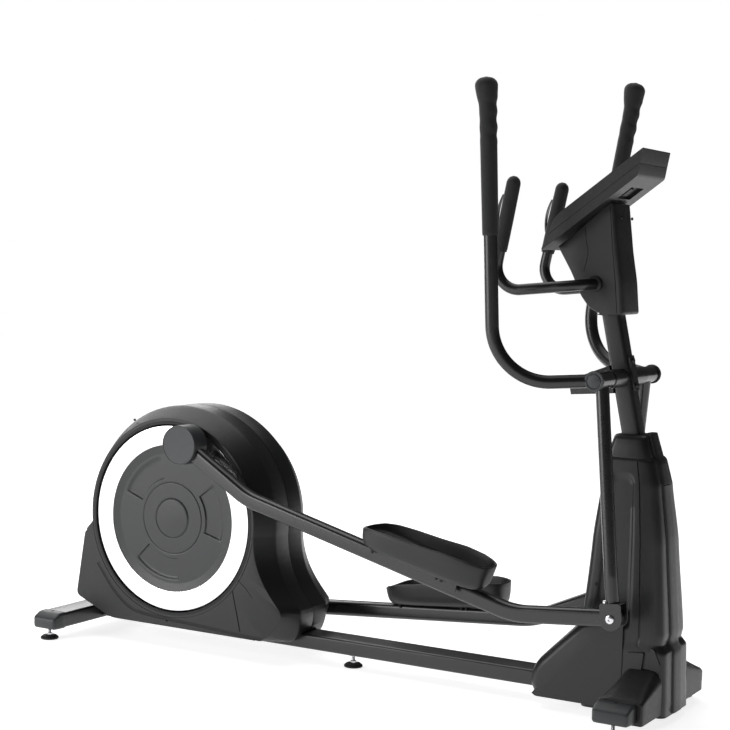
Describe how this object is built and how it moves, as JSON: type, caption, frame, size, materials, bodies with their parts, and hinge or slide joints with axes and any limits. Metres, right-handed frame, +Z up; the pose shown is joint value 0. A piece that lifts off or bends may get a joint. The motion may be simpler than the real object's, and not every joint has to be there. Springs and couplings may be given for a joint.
{
  "type": "elliptical trainer",
  "caption": "Rear-drive elliptical trainer with a round drive housing, crank disks with bright rings, swinging handlebars, pedals on long arms, a shrouded mast and a tilted console.",
  "frame": {"origin": "on the floor, at the middle of the bounding box's length and width", "axes": "+X towards the console end, +Y to the user's left, +Z up"},
  "size_m": [2.017, 0.6845, 1.745],
  "materials": {
    "rail_paint": "satin, smooth",
    "beam_paint": "satin, smooth",
    "mast_paint": "satin, smooth",
    "inner_paint": "satin",
    "handle_paint": "satin, fine texture",
    "link_paint": "satin, smooth",
    "arm_paint": "satin, smooth",
    "steel": "turned and zinc plated",
    "bearing_steel": "ground",
    "wheel_iron": "turned",
    "pulley_plastic": "moulded",
    "belt_rubber": "ribbed",
    "magnet_steel": "bare magnets on a plated yoke",
    "motor_plastic": "moulded",
    "housing_plastic": "fine grain",
    "shroud_plastic": "fine grain, slight sheen",
    "collar_plastic": "smooth",
    "foot_cover_plastic": "smooth",
    "cap_plastic": "smooth",
    "crank_cap_plastic": "smooth",
    "disk_plastic": "smooth",
    "hub_plastic": "smooth",
    "ring_gloss": "high gloss, bright",
    "console_plastic": "smooth",
    "screen_lens": "polished dark lens",
    "neck_plastic": "smooth",
    "grip_foam": "foam",
    "plate_chrome": "polished",
    "pedal_plastic": "stippled",
    "pad_rubber": "dotted",
    "foot_rubber": "moulded",
    "inlet_plastic": "moulded",
    "start_red": "smooth",
    "button_grey": "smooth"
  },
  "bodies": {
    "trainer": {"main_rail": "rail_paint", "rear_beam": "beam_paint", "front_beam": "beam_paint", "beam_end_caps": "cap_plastic", "base_post": "mast_paint", "mast": "mast_paint", "pivot_tube": "mast_paint", "pivot_axle": "steel", "pivot_saddle": "mast_paint", "shroud_left": "shroud_plastic", "shroud_right": "shroud_plastic", "shroud_collar": "collar_plastic", "foot_covers": "foot_cover_plastic", "drive_frame": "inner_paint", "bearings": "bearing_steel", "housing_left": "housing_plastic", "housing_right": "housing_plastic", "drive_belt": "belt_rubber", "brake_servo": "motor_plastic", "power_inlet": "inlet_plastic", "console_back": "console_plastic", "console_front": "console_plastic", "console_screen": "screen_lens", "neck_cover": "neck_plastic", "fixed_handlebar": "handle_paint", "fixed_grips": "grip_foam", "pulse_plates": "plate_chrome", "fasteners": "steel"},
    "crank": {"crank_axle": "steel", "crank_arms": "inner_paint", "crank_disks": "disk_plastic", "crank_rings": "ring_gloss", "hub_caps": "hub_plastic", "drive_pulley": "pulley_plastic"},
    "flywheel": {"flywheel": "wheel_iron"},
    "brake": {"brake_carrier": "magnet_steel"},
    "left_swing": {"left_link": "link_paint", "left_handlebar": "handle_paint", "left_grip": "grip_foam", "left_pivot_cap": "cap_plastic"},
    "left_arm": {"left_pedal_arm": "arm_paint", "left_crank_cap": "crank_cap_plastic", "left_pedal": "pedal_plastic", "left_pedal_pad": "pad_rubber"},
    "right_swing": {"right_link": "link_paint", "right_handlebar": "handle_paint", "right_grip": "grip_foam", "right_pivot_cap": "cap_plastic"},
    "right_arm": {"right_pedal_arm": "arm_paint", "right_crank_cap": "crank_cap_plastic", "right_pedal": "pedal_plastic", "right_pedal_pad": "pad_rubber"},
    "foot_rear_left": {"foot_rear_left": "foot_rubber"},
    "foot_rear_right": {"foot_rear_right": "foot_rubber"},
    "foot_front_left": {"foot_front_left": "foot_rubber"},
    "foot_front_right": {"foot_front_right": "foot_rubber"},
    "foot_middle": {"foot_middle": "foot_rubber"},
    "start_button": {"start_button": "start_red"},
    "up_button": {"up_button": "button_grey"},
    "down_button": {"down_button": "button_grey"}
  },
  "joints": [
    {"name": "crank_spin", "type": "hinge", "parent": "trainer", "child": "crank", "pos_m": [-0.5845, 0, 0.405], "axis": [0, 1, 0], "continuous": true},
    {"name": "flywheel_spin", "type": "hinge", "parent": "trainer", "child": "flywheel", "pos_m": [-0.3695, 0, 0.262], "axis": [0, 1, 0], "continuous": true},
    {"name": "brake_release", "type": "hinge", "parent": "trainer", "child": "brake", "pos_m": [-0.48007, 0, 0.21044], "axis": [0, 1, 0], "range_deg": [0, 8]},
    {"name": "right_swing", "type": "hinge", "parent": "trainer", "child": "right_swing", "pos_m": [0.8265, 0, 0.915], "axis": [0, 1, 0], "range_deg": [-15.7, 27.9]},
    {"name": "left_swing", "type": "hinge", "parent": "trainer", "child": "left_swing", "pos_m": [0.8265, 0, 0.915], "axis": [0, 1, 0], "range_deg": [-27.9, 15.7]},
    {"name": "right_pedal_arm", "type": "hinge", "parent": "right_swing", "child": "right_arm", "pos_m": [0.89412, -0.188, 0.29669], "axis": [0, 1, 0], "range_deg": [-27.9, 15.7]},
    {"name": "left_pedal_arm", "type": "hinge", "parent": "left_swing", "child": "left_arm", "pos_m": [0.76216, 0.188, 0.29634], "axis": [0, 1, 0], "range_deg": [-15.7, 27.9]},
    {"name": "foot_rear_left_screw", "type": "slide", "parent": "trainer", "child": "foot_rear_left", "axis": [0, 0, -1], "range_m": [0, 0.012]},
    {"name": "foot_rear_right_screw", "type": "slide", "parent": "trainer", "child": "foot_rear_right", "axis": [0, 0, -1], "range_m": [0, 0.012]},
    {"name": "foot_front_left_screw", "type": "slide", "parent": "trainer", "child": "foot_front_left", "axis": [0, 0, -1], "range_m": [0, 0.012]},
    {"name": "foot_front_right_screw", "type": "slide", "parent": "trainer", "child": "foot_front_right", "axis": [0, 0, -1], "range_m": [0, 0.012]},
    {"name": "foot_middle_screw", "type": "slide", "parent": "trainer", "child": "foot_middle", "axis": [0, 0, -1], "range_m": [0, 0.012]},
    {"name": "start_button_press", "type": "slide", "parent": "trainer", "child": "start_button", "axis": [0.5976, 0, -0.8018], "range_m": [0, 0.0015], "stiffness_N_per_m": 400},
    {"name": "up_button_press", "type": "slide", "parent": "trainer", "child": "up_button", "axis": [0.5976, 0, -0.8018], "range_m": [0, 0.0015], "stiffness_N_per_m": 400},
    {"name": "down_button_press", "type": "slide", "parent": "trainer", "child": "down_button", "axis": [0.5976, 0, -0.8018], "range_m": [0, 0.0015], "stiffness_N_per_m": 400}
  ],
  "couplings": [
    {"joint": "flywheel_spin", "follows": "crank_spin", "ratio": 5},
    {"joint": "left_swing", "follows": "right_swing", "ratio": -1},
    {"joint": "right_pedal_arm", "follows": "right_swing", "ratio": -1},
    {"joint": "left_pedal_arm", "follows": "right_swing", "ratio": 1}
  ]
}
